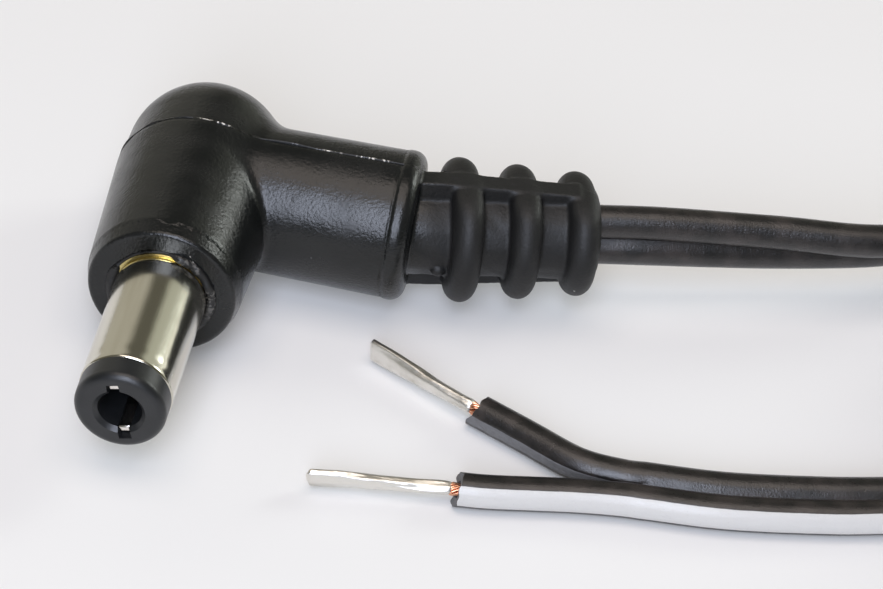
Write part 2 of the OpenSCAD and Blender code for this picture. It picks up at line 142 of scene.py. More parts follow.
def sweep(name, line, outline, ends=()):
    # outline(t) is a ring at share t of the line: across the width, across the thickness and,
    # if wanted, along it. The rings in ends follow at the line's last point.
    heading, wide, thin = crossSections(line)
    last = len(line) - 1
    rings = [(i, np.array(outline(i / last))) for i in range(last + 1)]
    rings += [(last, np.array(ring)) for ring in ends]
    points = []
    for i, ring in rings:
        along = ring[:, 2:3] * heading[i] if ring.shape[1] > 2 else 0
        points.extend(line[i, :3] + ring[:, :1] * wide[i] + ring[:, 1:2] * thin[i] + along)
    n = len(rings[0][1])
    faces = [(i * n + j, i * n + (j + 1) % n, (i + 1) * n + (j + 1) % n, (i + 1) * n + j)
             for i in range(len(rings) - 1) for j in range(n)]
    faces += [tuple(range(n - 1, -1, -1)), tuple(range(len(points) - n, len(points)))]
    return makePiece(name, points, faces)


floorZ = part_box("housing")[0].z / mm
lobeR, coreZ, webHalf = 1.05, 1.0, 0.45
cord = {
    "length": 1500,
    "stripeCentre": 16,   # degrees round the striped core from its outermost side
    "stripeHalf": 39,
    "spacing": 0.55,
    "hankSpacing": 1.5,
}
hank = {
    "x": 52, "y": 13.5, "length": 70, "width": 31, "height": 8.4,
    "turns": 5, "pitch": 2.15,
    "pinch": 0.02, "lift": 0.3,   # how the tie draws the runs in and holds them off the floor
    "held": 9,                    # how far either side of the tie that reaches
    "shiftShare": 0.42,           # share of a turn over which the cord moves in or out by a pitch
    "dropFrom": 0.25, "dropOver": 0.5,
    "runSteps": 24, "turnSteps": 40,
}
turnY = hank["width"] / 2 - lobeR
joinX = hank["x"] + hank["width"] / 2
farX = hank["x"] + hank["length"] - hank["width"] / 2
hankMiddle = hank["x"] + hank["length"] / 2
lowZ = floorZ + hank["height"] / 4
highZ = floorZ + 3 * hank["height"] / 4
flatZ = floorZ + lobeR
lean = math.radians(14)
armBack, armLen, bendR, reliefLen = 10.6, 14, 6, 9.8
neckX = armLen - 0.6
neckEnd = np.array([neckX + bendR * math.sin(lean), armBack + bendR * (1 - math.cos(lean)), 0])
reliefWay = np.array([math.cos(lean), math.sin(lean), 0])
reliefEnd = neckEnd + reliefLen * reliefWay

exitRoute = [
    [*reliefEnd, 0],
    [*(reliefEnd + 4 * reliefWay), 0],
    [35, 16, -0.3, 12],
    [42, 18, -0.5, 34],
    [48, 21, -0.4, 30],
    [53, 25, 0, 15],
    [57.5, 27.5, highZ - 0.2, 0],
    [62, hank["y"] + turnY, highZ, 0],
    [joinX, hank["y"] + turnY, highZ, 0],
]
returnRoute = [
    [joinX, hank["y"] - turnY, lowZ, 0],
    [61, hank["y"] - turnY, lowZ, 0],
    [57, -0.8, flatZ + 0.9, 30],
    [52, -0.5, flatZ + 0.4, 65],
    [47, -1, flatZ, 90],
    [41, -2.6, flatZ, 90],
    [35, -3.9, flatZ, 90],
    [30, -4.4, flatZ, 90],
]
plainRoute = [[26, -3.2], [22.8, -1.7], [19.6, -0.2]]
stripedRoute = [[26, -6], [21.5, -7], [19.5, -7.3]]


def ease(t):
    t = min(max(t, 0), 1)
    return t * t * (3 - 2 * t)


def hankLine():
    # down through the upper layer's turns to the innermost, then out through the lower layer's
    line = []
    count = hank["turns"]
    offsets = [turnY - hank["pitch"] * k for k in range(count)]
    order = [(k, highZ) for k in range(count)] + [(k, lowZ) for k in reversed(range(count))]
    y = hank["y"]
    for step, (k, z) in enumerate(order):
        h = offsets[k]
        line += [[x, y + h, z, 0] for x in np.linspace(joinX, farX, hank["runSteps"])]
        line += [[farX + h * math.sin(a), y + h * math.cos(a), z, 0]
                 for a in np.linspace(0, math.pi, hank["turnSteps"])[1:-1]]
        line += [[x, y - h, z, 0] for x in np.linspace(farX, joinX, hank["runSteps"])]
        if step + 1 == len(order):
            break
        nextK, nextZ = order[step + 1]
        share = hank["shiftShare"]
        for t in np.linspace(0, 1, hank["turnSteps"])[1:-1]:
            shift = ease(t / share) if z == lowZ else ease((t - 1 + share) / share)
            drop = ease((t - hank["dropFrom"]) / hank["dropOver"])
            r = h + (offsets[nextK] - h) * shift
            a = math.pi * t
            line.append([joinX - r * math.sin(a), y - r * math.cos(a), z + (nextZ - z) * drop, 0])
    line = np.array(line)
    held = np.exp(-((line[:, 0] - hankMiddle) / hank["held"]) ** 2)
    line[:, 1] = y + (line[:, 1] - y) * (1 - hank["pinch"] * held)
    line[:, 2] += hank["lift"] * held
    return line


def twinOutline(_):
    # two round cores joined by a thinner web, width along the first coordinate
    meet = math.degrees(math.asin(webHalf / lobeR))
    reach = 180 - meet - 4
    angles = np.radians(np.linspace(-reach, reach, 17))
    right = [(coreZ + lobeR * math.cos(a), lobeR * math.sin(a)) for a in angles]
    left = [(-x, -y) for x, y in right]
    return right + [(0, webHalf)] + left + [(0, -webHalf)]


def makeCord():
    line = np.vstack([
        smoothLine(exitRoute, cord["spacing"])[:-1],
        evenly(hankLine(), cord["hankSpacing"]),
        smoothLine(returnRoute, cord["spacing"])[1:],
    ])
    tilt = np.abs(np.cos(np.radians(line[:, 3])))
    # the smoothed line may not leave the hank's outside or sink into the floor
    line[:, 1] = np.minimum(line[:, 1], hank["y"] + turnY)
    line[:, 2] = np.maximum(line[:, 2], floorZ + lobeR + coreZ * tilt)
    piece = sweep("cord", line, twinOutline)
    section = np.array(twinOutline(0))
    around = np.degrees(np.arctan2(-section[:, 1], -(section[:, 0] + coreZ)))
    away = np.abs(around - cord["stripeCentre"])
    away[section[:, 0] > -0.05] = 180
    addReading(piece, "fromStripe", np.tile(away, len(line)))
    addReading(piece, "torn", np.zeros(len(piece.data.vertices)))
    length = np.linalg.norm(np.diff(line[:, :3], axis=0), axis=1).sum()
    print(f"cord {length:.0f} mm long, {len(line)} rings")
    return piece, line


cordPiece, cordLine = makeCord()


# The split cores: each has a flat torn side where the other was pulled off it.
leg = {
    "r": 1.03,
    "flush": 0.018,      # how much fuller they start, to meet the cord
    "tornAt": 0.97,      # distance from the core's middle to the torn face
    "tornHalf": 0.36,    # half the height of that face
    "tornWave": (0.03, 0.015),   # coarse and fine unevenness of that face
    "bore": 0.52,
    "boreDeep": 0.9,
    "ragged": 0.07,      # how unevenly the insulation is cut
    # how far the cut slants back at the top
    "cut": {"plain_insulation": 0.34, "striped_insulation": 0.2},
    "slantOver": 6,      # rings over which the slant builds up
    "flushOver": 16,     # rings over which the fuller start thins
    "sides": 48,
}


def legLine(side, route):
    end, before = cordLine[-1, :3], cordLine[-2, :3]
    way = unit(end - before)
    start = end + side * coreZ * unit(np.cross(way, [0, 0, 1]))
    points = [[*(start - 0.3 * way), 0], [*(start + 1.2 * way), 0]]
    points += [[x, y, flatZ, 0] for x, y in route]
    return smoothLine(points, 0.25)


def legRing(side, r, seed, ragged=0.0, shift=0.0, slant=0.0):
    ring = []
    for a in np.linspace(0, 2 * math.pi, leg["sides"], endpoint=False):
        up, out = r * math.cos(a), r * math.sin(a)
        torn = -side * out > 0 and abs(up) < leg["tornHalf"]
        if torn and r > leg["bore"]:
            coarse, fine = leg["tornWave"]
            wave = coarse * math.sin(7 * up + seed) + fine * math.sin(23 * up + 5 * seed)
            out = -side * (leg["tornAt"] + wave)
        uneven = math.sin(3 * a + seed) + 0.6 * math.sin(8 * a + 2 * seed)
        ring.append((up, out, shift + ragged * uneven - slant * up / leg["r"]))
    return ring


def makeLeg(name, side, route, seed):
    line = legLine(side, route)
    last = len(line) - 1
    slant = leg["cut"][name]
    ends = [legRing(side, leg["r"] - 0.05, seed, leg["ragged"], 0.02, slant),
            legRing(side, leg["bore"], seed, leg["ragged"] * 0.4, -0.02, slant),
            legRing(side, leg["bore"], seed, 0, -leg["boreDeep"])]

    def outline(t):
        share = max(0, 1 - (1 - t) * last / leg["slantOver"])
        r = leg["r"] + leg["flush"] * (1 - ease(t * last / leg["flushOver"]))
        ragged = leg["ragged"] * share ** 3
        return legRing(side, r, seed + 9 * t * (1 - share), ragged, 0, slant * share)

    piece = sweep(name, line, outline, ends)
    ring = np.array(legRing(side, leg["r"], seed))
    around = np.degrees(np.arctan2(ring[:, 0], side * ring[:, 1]))
    away = np.abs(around - cord["stripeCentre"]) if side < 0 else np.full(len(ring), 180.0)
    face = (np.abs(ring[:, 0]) < leg["tornHalf"] * 0.98) & (-side * ring[:, 1] > 0)
    torn = np.tile(face.astype(float), last + 1)
    addReading(piece, "fromStripe", np.concatenate([np.tile(away, last + 1), np.full(len(ring) * 3, 180.0)]))
    # the torn side and the three end rings are marked, and the cord material paints them pale grey (on the
    # torn side as painted floor light)
    addReading(piece, "torn", np.concatenate([torn, np.full(len(ring) * 3, 0.8)]))
    return piece, line


plainLeg, plainLine = makeLeg("plain_insulation", 1, plainRoute, 1.3)
stripedLeg, stripedLine = makeLeg("striped_insulation", -1, stripedRoute, 4.1)
print("split cores made")

copper = {
    "strandR": 0.078,
    "strands": ((0, 1), (0.16, 6), (0.31, 12)),   # each layer's radius and number of strands
    "shown": 0.52, "twist": 70,
    "inside": 0.8,        # how far the strands start inside the insulation
    "soldered": 0.25,     # how far they run into the solder
    "sprung": 0.07,       # how far the outermost may stand off
    "sides": 8,
}


def pastLeg(line, distance, bend=0.0):
    # a point beyond the leg's end, on a curve that turns off by bend degrees over 8 mm
    way = unit(line[-1, :3] - line[-4, :3])
    turn = math.radians(bend) * distance / 16
    turned = np.array([way[0] * math.cos(turn) - way[1] * math.sin(turn),
                       way[0] * math.sin(turn) + way[1] * math.cos(turn), way[2]])
    return line[-1, :3] + distance * turned


def makeCopper(name, line, seed):
    # twisted bare strands between the insulation and the solder, a few of them sprung out
    draw = random.Random(seed)
    points, faces, sides = [], [], copper["sides"]
    outermost = copper["strands"][-1][0]
    for ringR, count in copper["strands"]:
        for k in range(count):
            start = 360 * k / count + draw.uniform(-6, 6)
            spring = draw.uniform(0.0, copper["sprung"]) if ringR == outermost else 0
            path = []
            for t in np.linspace(-copper["inside"], copper["shown"] + copper["soldered"], 15):
                a = math.radians(start + copper["twist"] * t)
                into = max(0, t - copper["shown"] + 0.2) / 0.45
                out = ringR * (1 - 0.45 * into) + spring * math.sin(math.pi * min(max(t / 0.8, 0), 1))
                path.append([*(pastLeg(line, t) + [0, out * math.cos(a), out * math.sin(a)]), 0])
            path = np.array(path)
            _, wide, thin = crossSections(path)
            base = len(points)
            for i in range(len(path)):
                for b in np.linspace(0, 2 * math.pi, sides, endpoint=False):
                    around = math.cos(b) * wide[i] + math.sin(b) * thin[i]
                    points.append(path[i, :3] + copper["strandR"] * around)
            faces += [(base + i * sides + j, base + i * sides + (j + 1) % sides,
                       base + (i + 1) * sides + (j + 1) % sides, base + (i + 1) * sides + j)
                      for i in range(len(path) - 1) for j in range(sides)]
            faces += [tuple(base + j for j in range(sides - 1, -1, -1)),
                      tuple(base + (len(path) - 1) * sides + j for j in range(sides))]
    return makePiece(name, points, faces, 60)


plainCopper = makeCopper("plain_strands", plainLine, 3)
stripedCopper = makeCopper("striped_strands", stripedLine, 8)

lead = {
    "plain": {"length": 7.75, "wide": 0.72, "waist": 0.02, "lean": 4},
    "striped": {"length": 8.35, "wide": 0.66, "waist": 0.11, "lean": -14},
    # lean is how far the flattened side leans from upright
    "rootR": 0.43, "tipThin": 0.32,
    "ridge": 0.016,       # strands that show through the solder
    "lump": 0.045,
    "squared": 0.22,      # how square the flattened part's outline is
    "rootIn": 0.15,       # how far the solder reaches back over the copper
    "step": 0.07,
    "sides": 40,
}


def makeLead(name, line, shape, bend, seed):
    # solder over twisted strands: round at the copper, flattened and blunt at the tip
    first = copper["shown"] - lead["rootIn"]
    starts = np.arange(first, first + shape["length"], lead["step"])
    path = np.array([[*pastLeg(line, d, bend), shape["lean"]] for d in starts])

    def outline(t):
        flat = ease((t - 0.1) / 0.75)
        square = 1 - lead["squared"] * flat
        waist = shape["waist"] * math.sin(math.pi * min(t / 0.8, 1))
        up = lead["rootR"] + (shape["wide"] - lead["rootR"]) * flat - waist
        side = lead["rootR"] + (lead["tipThin"] - lead["rootR"]) * flat
        root = math.sqrt(1 - max(0, 1 - t / 0.05) ** 2) * 0.2 + 0.8
        tip = math.sqrt(max(0.25, 1 - max(0, (t - 0.97) / 0.03) ** 2.6))
        ring = []
        for a in np.linspace(0, 2 * math.pi, lead["sides"], endpoint=False):
            wave = (lead["ridge"] * math.cos(7 * a + 2.5 * t + seed)
                    + lead["lump"] * math.sin(6.3 * t + 1.7 * seed + a) * math.sin(2 * a + 4 * t + seed)
                    + 0.008 * math.sin(23 * t + 3 * a + seed))
            across, over = math.cos(a), math.sin(a)
            across = math.copysign(abs(across) ** square, across)
            over = math.copysign(abs(over) ** square, over)
            ring.append(((up + wave) * across * root * tip, (side + wave) * over * root * tip,
                         0.14 * math.sin(a + seed) * ease((t - 0.8) / 0.2)))
        return ring
    return sweep(name, path, outline)


plainLead = makeLead("plain_tinned", plainLine, lead["plain"], -5, 0.6)
stripedLead = makeLead("striped_tinned", stripedLine, lead["striped"], 3, 2.2)
print("bare ends made")

tie = {
    "wide": 3.6, "thick": 0.3, "rib": 0.42, "corner": 1.1,
    "tail": 11, "tailWide": 0.75, "tailHalf": 0.17, "turns": 4,
    "spacing": 0.6, "tailSpacing": 0.14,
}


def makeTie():
    # a wire-cored strip round the hank, its two ends twisted together on top
    halfY = hank["width"] / 2 * (1 - hank["pinch"]) + tie["thick"] / 2
    low = floorZ + tie["thick"] / 2
    high = highZ + coreZ + lobeR + hank["lift"] + tie["thick"] / 2
    corners = [(halfY, low), (halfY, high), (-halfY, high), (-halfY, low)]
    loop = []
    for k, (y, z) in enumerate(corners):
        r = tie["corner"]
        cy, cz = y - math.copysign(r, y), (z + r if z == low else z - r)
        for a in np.radians(np.linspace(-90 + 90 * k, 90 * k, 9)):
            loop.append((hank["y"] + cy + r * math.cos(a), cz + r * math.sin(a)))
    dense = np.array(loop + loop[:1])
    loop = evenly(np.column_stack([dense, np.zeros(len(dense))]), tie["spacing"])[:-1, :2]
    way = np.roll(loop, -1, 0) - np.roll(loop, 1, 0)
    outward = unit(np.column_stack([way[:, 1], -way[:, 0]]))
    half, thick, rib = tie["wide"] / 2, tie["thick"] / 2, tie["rib"]
    section = [(-half, 0), (-half + 0.1, thick), (-0.4, thick), (0, rib - thick * 0.4), (0.4, thick),
               (half - 0.1, thick), (half, 0), (half - 0.1, -thick), (-half + 0.1, -thick)]
    points, n, m = [], len(section), len(loop)
    for (y, z), (oy, oz) in zip(loop, outward):
        for x, out in section:
            out = min(out, thick + max(0, 2 * oz - 1) * rib)   # the wire shows on top only
            points.append((hankMiddle + x, y + out * oy, z + out * oz))
    faces = [(i * n + j, i * n + (j + 1) % n, (i + 1) % m * n + (j + 1) % n, (i + 1) % m * n + j)
             for i in range(m) for j in range(n)]
    band = makePiece("hank_band", points, faces)
    top = high + tie["thick"] / 2 + tie["tailWide"]
    route = [[hankMiddle - 0.5 + tie["tail"] * t, hank["y"] + 1.2 * math.sin(2.4 * t), top - 0.12 * t,
              360 * tie["turns"] * t] for t in np.linspace(0, 1, 9)]
    path = smoothLine(route, tie["tailSpacing"])

    def strip(t):
        w, h = tie["tailWide"] * (1 - 0.1 * t), tie["tailHalf"]
        return [(-w, 0), (-w * 0.8, h), (0, h * 1.7), (w * 0.8, h),
                (w, 0), (w * 0.8, -h), (0, -h * 1.7), (-w * 0.8, -h)]

    return band, sweep("hank_tail", path, strip)


tieBand, tieTail = makeTie()
print("hank tie made")

# The moulding is one field of distances, meshed where it is zero.
housing = {
    "rimR": 4.42, "lipR": 4.68, "partR": 5.2, "domeR": 5.03, "domeBack": 2.25, "frontRound": 0.22,
    "lip": 0.9, "step": 0.06, "mouldStep": 0.12, "groove": 0.05,
    "armR": 4.5, "armEndR": 4.64, "armEnd": 13.58, "ringAt": 12.3, "armRound": 0.85,
    "coreR": 2.8, "ribR": (4.45, 4.15, 3.85), "ribAt": (1.3, 4.9, 8.5), "ribTop": (3.91, 3.65, 3.4),
    "webHalf": 0.65, "webFirst": 4.0, "webLast": 3.4, "shift": 0.2,
    "recessR": 3.04, "recess": 1.4, "innerR": 4.08, "innerArmR": 3.33, "innerArm": 8.83,
    "crease": 0.35, "creaseGrows": 0.75,   # radius where elbow and arm meet, more towards the dome
    "edge": 0.1, "seamEdge": 0.08,         # how softly a ring and the parting line step
    "uneven": 0.03,                        # waves in the relief's surface between its ribs
    "clear": 0.03,                         # room round the cord
    "chip": (0, -2.5, -1.1), "chipR": 0.5,
    "grid": 0.17,
}


def softMin(a, b, k):
    h = np.clip(0.5 + 0.5 * (b - a) / k, 0, 1)
    return b + (a - b) * h - k * h * (1 - h)


def softMax(a, b, k):
    return -softMin(-a, -b, k)


def roundedEdge(a, b, r):
    # two faces' distances, with their common edge rounded to radius r
    return np.hypot(np.maximum(a + r, 0), np.maximum(b + r, 0)) + np.minimum(np.maximum(a, b) + r, 0) - r


def rise(value, at, over):
    t = np.clip((value - at) / over + 0.5, 0, 1)
    return t * t * (3 - 2 * t)


def mark(value, at, over):
    return np.exp(-((value - at) / over) ** 2)


def elbowField(x, y, z):
    h = housing
    r = np.hypot(x, z)
    straight = (np.clip(y, h["lip"], armBack) - h["lip"]) / (armBack - h["lip"])
    radius = h["lipR"] + (h["partR"] - h["lipR"]) * straight
    drawnIn = 1 - np.clip(y / h["lip"], 0, 1)
    radius -= (h["lipR"] - h["step"] - h["rimR"]) * drawnIn
    radius -= h["step"] * (1 - rise(y, h["lip"], h["edge"])) + h["groove"] * mark(y, h["lip"] + 0.06, 0.09)
    taper = (h["partR"] - h["mouldStep"] - h["domeR"]) / h["domeBack"]
    behind = h["mouldStep"] + taper * np.clip(y - armBack, 0, h["domeBack"])
    radius -= rise(y, armBack, h["seamEdge"]) * behind
    dome = armBack + h["domeBack"]
    radius -= h["groove"] * mark(y, armBack - 0.14, 0.1)
    side = np.where(y > dome, np.hypot(r, y - dome) - h["domeR"], r - radius)
    return roundedEdge(side, -y, h["frontRound"])


def armField(x, y, z):
    h = housing
    radius = h["armR"] + (h["armEndR"] - h["armR"]) * np.clip(x / h["ringAt"], 0, 1)
    radius += h["step"] * rise(x, h["ringAt"], h["edge"]) - h["groove"] * mark(x, h["ringAt"], 0.1)
    radius -= h["mouldStep"] * rise(y, armBack, h["seamEdge"]) + h["groove"] * mark(y, armBack - 0.14, 0.1)
    body = roundedEdge(np.hypot(y - armBack, z) - radius, x - h["armEnd"], h["armRound"])
    return np.maximum(body, -x)


def reliefPlace(x, y):
    u = (x - neckEnd[0]) * math.cos(lean) + (y - neckEnd[1]) * math.sin(lean)
    return u, -(x - neckEnd[0]) * math.sin(lean) + (y - neckEnd[1]) * math.cos(lean)


def reliefField(x, y, z):
    h = housing
    u, v = reliefPlace(x, y)
    far = np.hypot(v, z)
    rough = np.sin(2.3 * u + 1.4 * np.sin(2.1 * z + 0.7 * u)) * np.sin(2.9 * z + 1.3 * u + 1)
    rough = h["uneven"] * rough * (v < 0)
    body = roundedEdge(far - h["coreR"] - rough, u - reliefLen, 0.4)
    body = np.maximum(body, -3 - u)
    along, across, high = h["chip"]
    short = 0.9 * h["chipR"]      # a small lump of material beside the first rib, a little flattened
    chip = ((u - along) / h["chipR"]) ** 2 + ((v - across) / h["chipR"]) ** 2 + ((z - high) / short) ** 2
    body = softMin(body, short * (np.sqrt(chip) - 1), 0.12)
    webHigh = h["webFirst"] + (h["webLast"] - h["webFirst"]) * np.clip(u / h["ribAt"][-1], 0, 1)
    web = roundedEdge(np.abs(v) - h["webHalf"], np.abs(z) - webHigh, 0.15)
    web = roundedEdge(web, np.abs(u - 3.5) - 5, 0.15)
    body = softMin(body, web, 0.2)
    front = 1 - rise(v, 0, 0.1)
    for r, at, top in zip(h["ribR"], h["ribAt"], h["ribTop"]):
        half = 1.05 - 0.13 * front
        across = u - at - h["shift"] * front
        rib = np.hypot(np.maximum(far - (r - half), 0), across) - half
        rib = softMax(rib, np.abs(z) - top, 0.7)
        body = softMin(body, rib, 0.3)
    return body


def twinField(across, z):
    clear = housing["clear"]
    cores = np.hypot(across, np.abs(z) - coreZ) - (lobeR + clear)
    return softMin(cores, np.maximum(np.abs(across) - webHalf - clear, np.abs(z) - coreZ), 0.05)


def hollowField(x, y, z):
    h = housing
    r = np.hypot(x, z)
    inner = np.maximum(np.maximum(r - h["innerR"], h["recess"] - 0.03 - y), y - armBack)
    inner = np.minimum(inner, np.sqrt(x ** 2 + (y - armBack) ** 2 + z ** 2) - h["innerR"])
    inArm = np.maximum(np.hypot(y - armBack, z) - h["innerArmR"], x - h["innerArm"])
    inner = np.minimum(inner, np.maximum(inArm, -x))
    u, v = reliefPlace(x, y)
    cordIn = np.maximum(twinField(y - armBack, z), np.maximum(x - 14.3, 5 - x))
    cordIn = np.minimum(cordIn, np.maximum(twinField(v, z), -0.8 - u))
    angle = np.arctan2(x, z)
    edge = h["recessR"] + 0.035 * np.sin(3 * angle + 0.6) * np.sin(7 * angle) + 0.02 * np.sin(13 * angle)
    recess = np.maximum(r - edge, y - h["recess"])
    return np.minimum(np.minimum(inner, cordIn), recess)


def housingField(x, y, z):
    crease = housing["crease"] + housing["creaseGrows"] * np.clip((y - 5) / 8, 0, 1)
    body = softMin(elbowField(x, y, z), armField(x, y, z), crease)
    body = softMin(body, reliefField(x, y, z), 0.18)
    return np.maximum(body, -hollowField(x, y, z))


def slope(field, p, step):
    sides = np.eye(3) * step
    return np.column_stack([(field(*(p + d).T) - field(*(p - d).T)) / (2 * step) for d in sides])


def makeHousing():
    low, high = (np.array(c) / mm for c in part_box("housing"))
    step = housing["grid"]
    axes = [np.arange(a - 3 * step, b + 4 * step, step) for a, b in zip(low, high)]
    grid = np.meshgrid(*axes, indexing="ij")
    field = np.clip(housingField(*grid), -1, 1)
    volume = openvdb.FloatGrid(1.0)
    volume.copyFromArray(field.astype(np.float32))
    points, quads = volume.convertToQuads(isovalue=0)
    points = points.astype(float) * step + [a[0] for a in axes]
    for _ in range(4):
        g = slope(housingField, points, 0.01)
        move = housingField(*points.T)[:, None] * g / np.maximum((g ** 2).sum(1, keepdims=True), 0.2)
        points -= np.clip(move, -0.05, 0.05)
    normals = unit(slope(housingField, points, 0.03))
    faces = quads[:, ::-1]
    a, b, c = (points[faces[:, k]] for k in range(3))
    turned = np.cross(b - a, c - a)
    if (turned * normals[faces[:, 0]]).sum() < 0:
        faces = faces[:, ::-1]
    piece = makePiece("moulded_housing", points, faces.tolist(), 180)
    piece.data.normals_split_custom_set_from_vertices(normals.tolist())
    addReading(piece, "relief", rise(points[:, 0], housing["armEnd"] + 0.6, 1.6))
    print(f"housing: {len(points)} points, {len(faces)} quads")
    return piece


housingPiece = makeHousing()

flash = {"high": 0.13, "elbowHigh": 0.08, "thick": 0.06, "sink": 0.1,
         "faceFrom": 19, "faceTurn": 14,   # the run on the front face, in degrees from the top
         # the pale colour below is painted on the flash in small flecks as glints: a painted highlight
         "dull": 0.5, "glossy": 0.12, "black": rgb(0.006, 0.006, 0.006), "paintedGlintColour": rgb(0.7, 0.66, 0.6)}


def makeFlash():
    # a thin ragged line of material squeezed out where the two mould halves met
    points, faces = [], []

    def addRun(places, high, seed):
        draw = random.Random(seed)
        waves = [(draw.uniform(0.3, 2.2), draw.uniform(0, 6)) for _ in range(5)]
        base = len(points)
        for i, (root, outward, across) in enumerate(places):
            wave = sum(math.sin(f * i * 0.11 + p) for f, p in waves) / 3
            tall = high * max(0, min(1, 0.45 + 0.8 * wave)) * draw.uniform(0.8, 1) + 0.02
            tall *= min(1, i / 6, (len(places) - 1 - i) / 6)
            lift = draw.uniform(-0.015, 0.015)
            thick = flash["thick"]
            for out, y in ((-flash["sink"], -thick), (tall - 0.05, -thick), (tall, lift - 0.4 * thick),
                           (tall, lift + 0.4 * thick), (tall - 0.05, thick), (-flash["sink"], thick)):
                points.append(root + out * outward + y * across)
        n = 6
        for i in range(len(places) - 1):
            for j in range(n):
                a, b = base + i * n + j, base + i * n + (j + 1) % n
                faces.append((a, b, b + n, a + n))
        faces.append(tuple(base + j for j in reversed(range(n))))
        faces.append(tuple(base + (len(places) - 1) * n + j for j in range(n)))

    seamR = housing["partR"] - housing["mouldStep"] / 2
    back = np.array([0, 1, 0])
    around = []
    for a in np.radians(np.arange(62, 300, 0.9)):
        way = np.array([math.cos(a), 0, math.sin(a)])
        around.append((way * seamR + armBack * back, way, back))
    addRun(around, flash["elbowHigh"], 5)
    for z in (1, -1):
        straight = []
        for x in np.arange(2.6, housing["armEnd"] - 0.8, 0.09):
            r = housing["armR"] + (housing["armEndR"] - housing["armR"]) * x / housing["ringAt"] - 0.06
            straight.append((np.array([x, armBack, z * r]), np.array([0, 0, float(z)]), back))
        addRun(straight, flash["high"], 11 + z)
    onFace = []
    for t in np.linspace(0, 1, 26):
        a = math.radians(flash["faceFrom"] + flash["faceTurn"] * t + 2.5 * math.sin(9 * t))
        r = housing["rimR"] - 0.1 + (housing["recessR"] + 0.1 - housing["rimR"]) * t
        way = np.array([math.sin(a), 0, math.cos(a)])
        onFace.append((r * way, -back, np.array([way[2], 0, -way[0]])))
    addRun(onFace, flash["high"], 21)
    return makePiece("mould_flash", points, faces, 70)


flashPiece = makeFlash()
print("mould flash made")

barrel = {
    "r": 2.75, "wall": 0.3, "length": 9.2, "neck": 0.2, "rim": 0.15, "flare": 0.05,
    "washerEnd": 2.45, "fit": 0.03, "flareR": 3.18, "segments": 192,
    "rootAt": 0.13,       # where the neck swells out, in front of the housing's face
}


def turnedPiece(name, profile):
    # profile runs round a closed section: radius, then distance in front of the housing's face
    n, m = len(profile), barrel["segments"]
    points = [(r * math.sin(a), -along, r * math.cos(a))
              for a in np.linspace(0, 2 * math.pi, m, endpoint=False) for r, along in profile]
    faces = [(i * n + j, (i + 1) % m * n + j, (i + 1) % m * n + (j + 1) % n, i * n + (j + 1) % n)
             for i in range(m) for j in range(n)]
    return makePiece(name, points, faces, 30)


def roundTo(r, along, radius, start, end, count=6):
    return [(r + radius * math.cos(a), along + radius * math.sin(a))
            for a in np.radians(np.linspace(start, end, count))]


def makeBarrel():
    b = barrel
    neck = b["r"] - b["neck"]
    inside = b["r"] - b["wall"]
    flare = -b["washerEnd"] - b["fit"]
    root = roundTo(neck, b["rootAt"] + b["neck"] + b["flare"], b["neck"] + b["flare"], -90, 0)
    tip = roundTo(b["r"] - b["rim"], b["length"] - b["rim"], b["rim"], 0, 90)
    waist = [(b["r"] + b["flare"] * (1 - t) ** 2 - 0.02 * mark(t, 0.97, 0.04), 0.5 + (b["length"] - 0.9) * t)
             for t in np.linspace(0, 1, 40)]
    flange = [(neck - b["wall"], flare - b["wall"]), (b["flareR"], flare - b["wall"]),
              (b["flareR"], flare), (neck, flare)]
    bore = [(inside, b["length"]), (inside, b["rootAt"] + b["wall"]),
            (neck - b["wall"], b["rootAt"] + b["wall"])]
    return turnedPiece("barrel_tube", [*flange, *root, *waist, *tip, *bore])


fork = {"tipBack": 0.2, "wide": 0.63, "outer": {1: 1.89, -1: 1.62}, "thick": 0.4, "turn": 15, "from": 10.25}


def makeTineTips():
    # the fork's two tips, turned out into the nose's slots
    points, faces = [], []
    tip = noseEnd - fork["tipBack"]
    for side in (1, -1):
        turn = math.radians(fork["turn"])
        across = np.array([math.cos(turn), 0, math.sin(turn)])
        out = side * np.array([-math.sin(turn), 0, math.cos(turn)])
        base = len(points)
        section = [(-0.5, 0.06), (-0.38, 0), (0.38, 0), (0.5, 0.06),
                   (0.5, 0.94), (0.38, 1), (-0.38, 1), (-0.5, 0.94)]
        for along, less in ((fork["from"], 0), (tip - 0.08, 0), (tip - 0.02, 0.05), (tip, 0.14)):
            for a, b in section:
                wide = a * (fork["wide"] - 2 * less)
                deep = fork["outer"][side] - less - (1 - b) * (fork["thick"] - 2 * less)
                points.append(wide * across + deep * out + np.array([0, -along, 0]))
        n = len(section)
        faces += [(base + i * n + j, base + i * n + (j + 1) % n, base + (i + 1) * n + (j + 1) % n,
                   base + (i + 1) * n + j) for i in range(3) for j in range(n)]
        faces += [tuple(base + j for j in range(n - 1, -1, -1)), tuple(base + 3 * n + j for j in range(n))]
    return makePiece("tine_tips", points, faces)


burr = {
    "r": 3.02, "thin": 0.09, "thick": 0.31, "ahead": 0.1,
    "bare": (-60, 12),    # degrees from the top, to the right, between which the brass ring shows
    "steps": 300,
}


